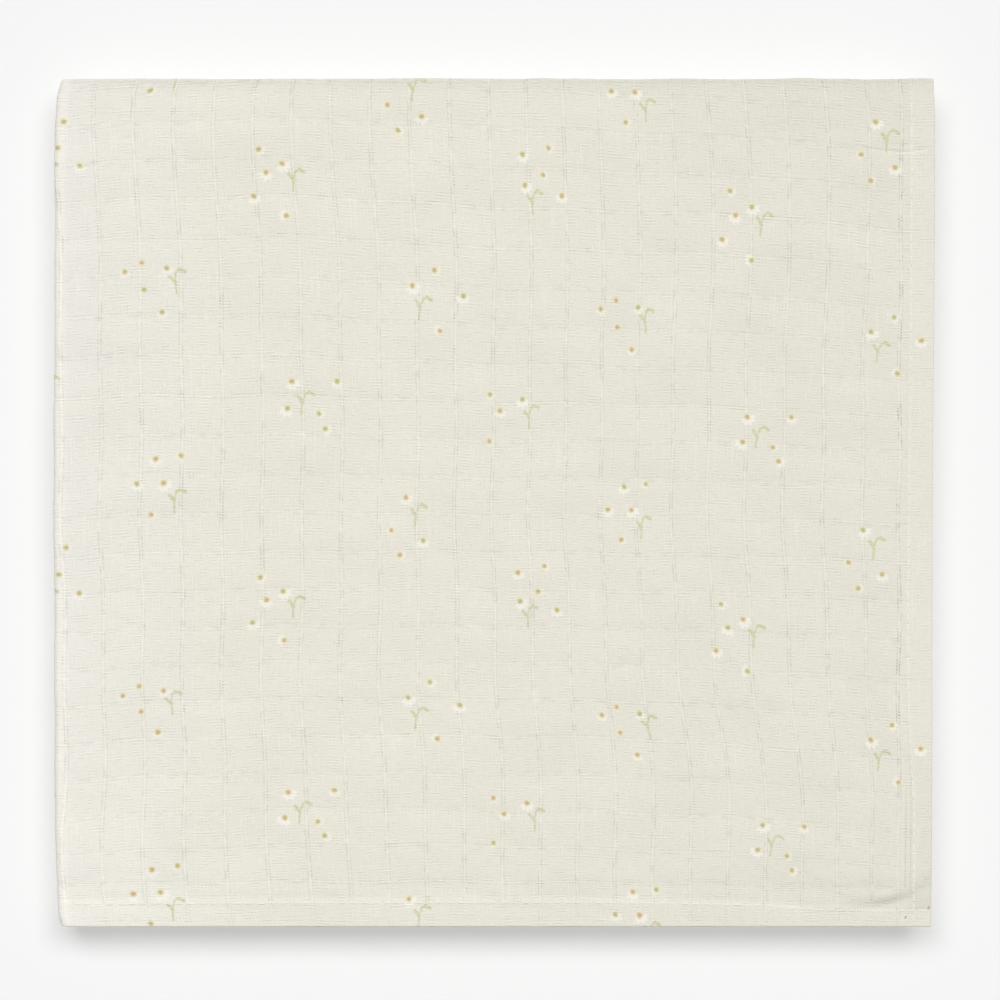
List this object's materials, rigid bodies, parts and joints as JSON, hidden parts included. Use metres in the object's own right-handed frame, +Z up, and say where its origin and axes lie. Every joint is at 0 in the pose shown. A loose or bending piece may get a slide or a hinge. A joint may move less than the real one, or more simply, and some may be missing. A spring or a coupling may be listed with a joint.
{
  "type": "folded swaddle blanket",
  "caption": "Square muslin swaddle blanket with a small scattered daisy print and narrow turned hems, folded flat into a square packet of layers.",
  "frame": {"origin": "middle of the underside of the folded packet", "axes": "+X towards the side where the side hem shows, +Y towards the folded edge opposite the end hem, +Z up through the layers"},
  "size_m": [0.3016, 0.2908, 0.0194],
  "materials": {
    "muslin": "matte crinkled cotton double gauze, cream, with a small printed daisy scatter"
  },
  "bodies": {
    "root": {"blanket": "muslin"}
  },
  "joints": []
}
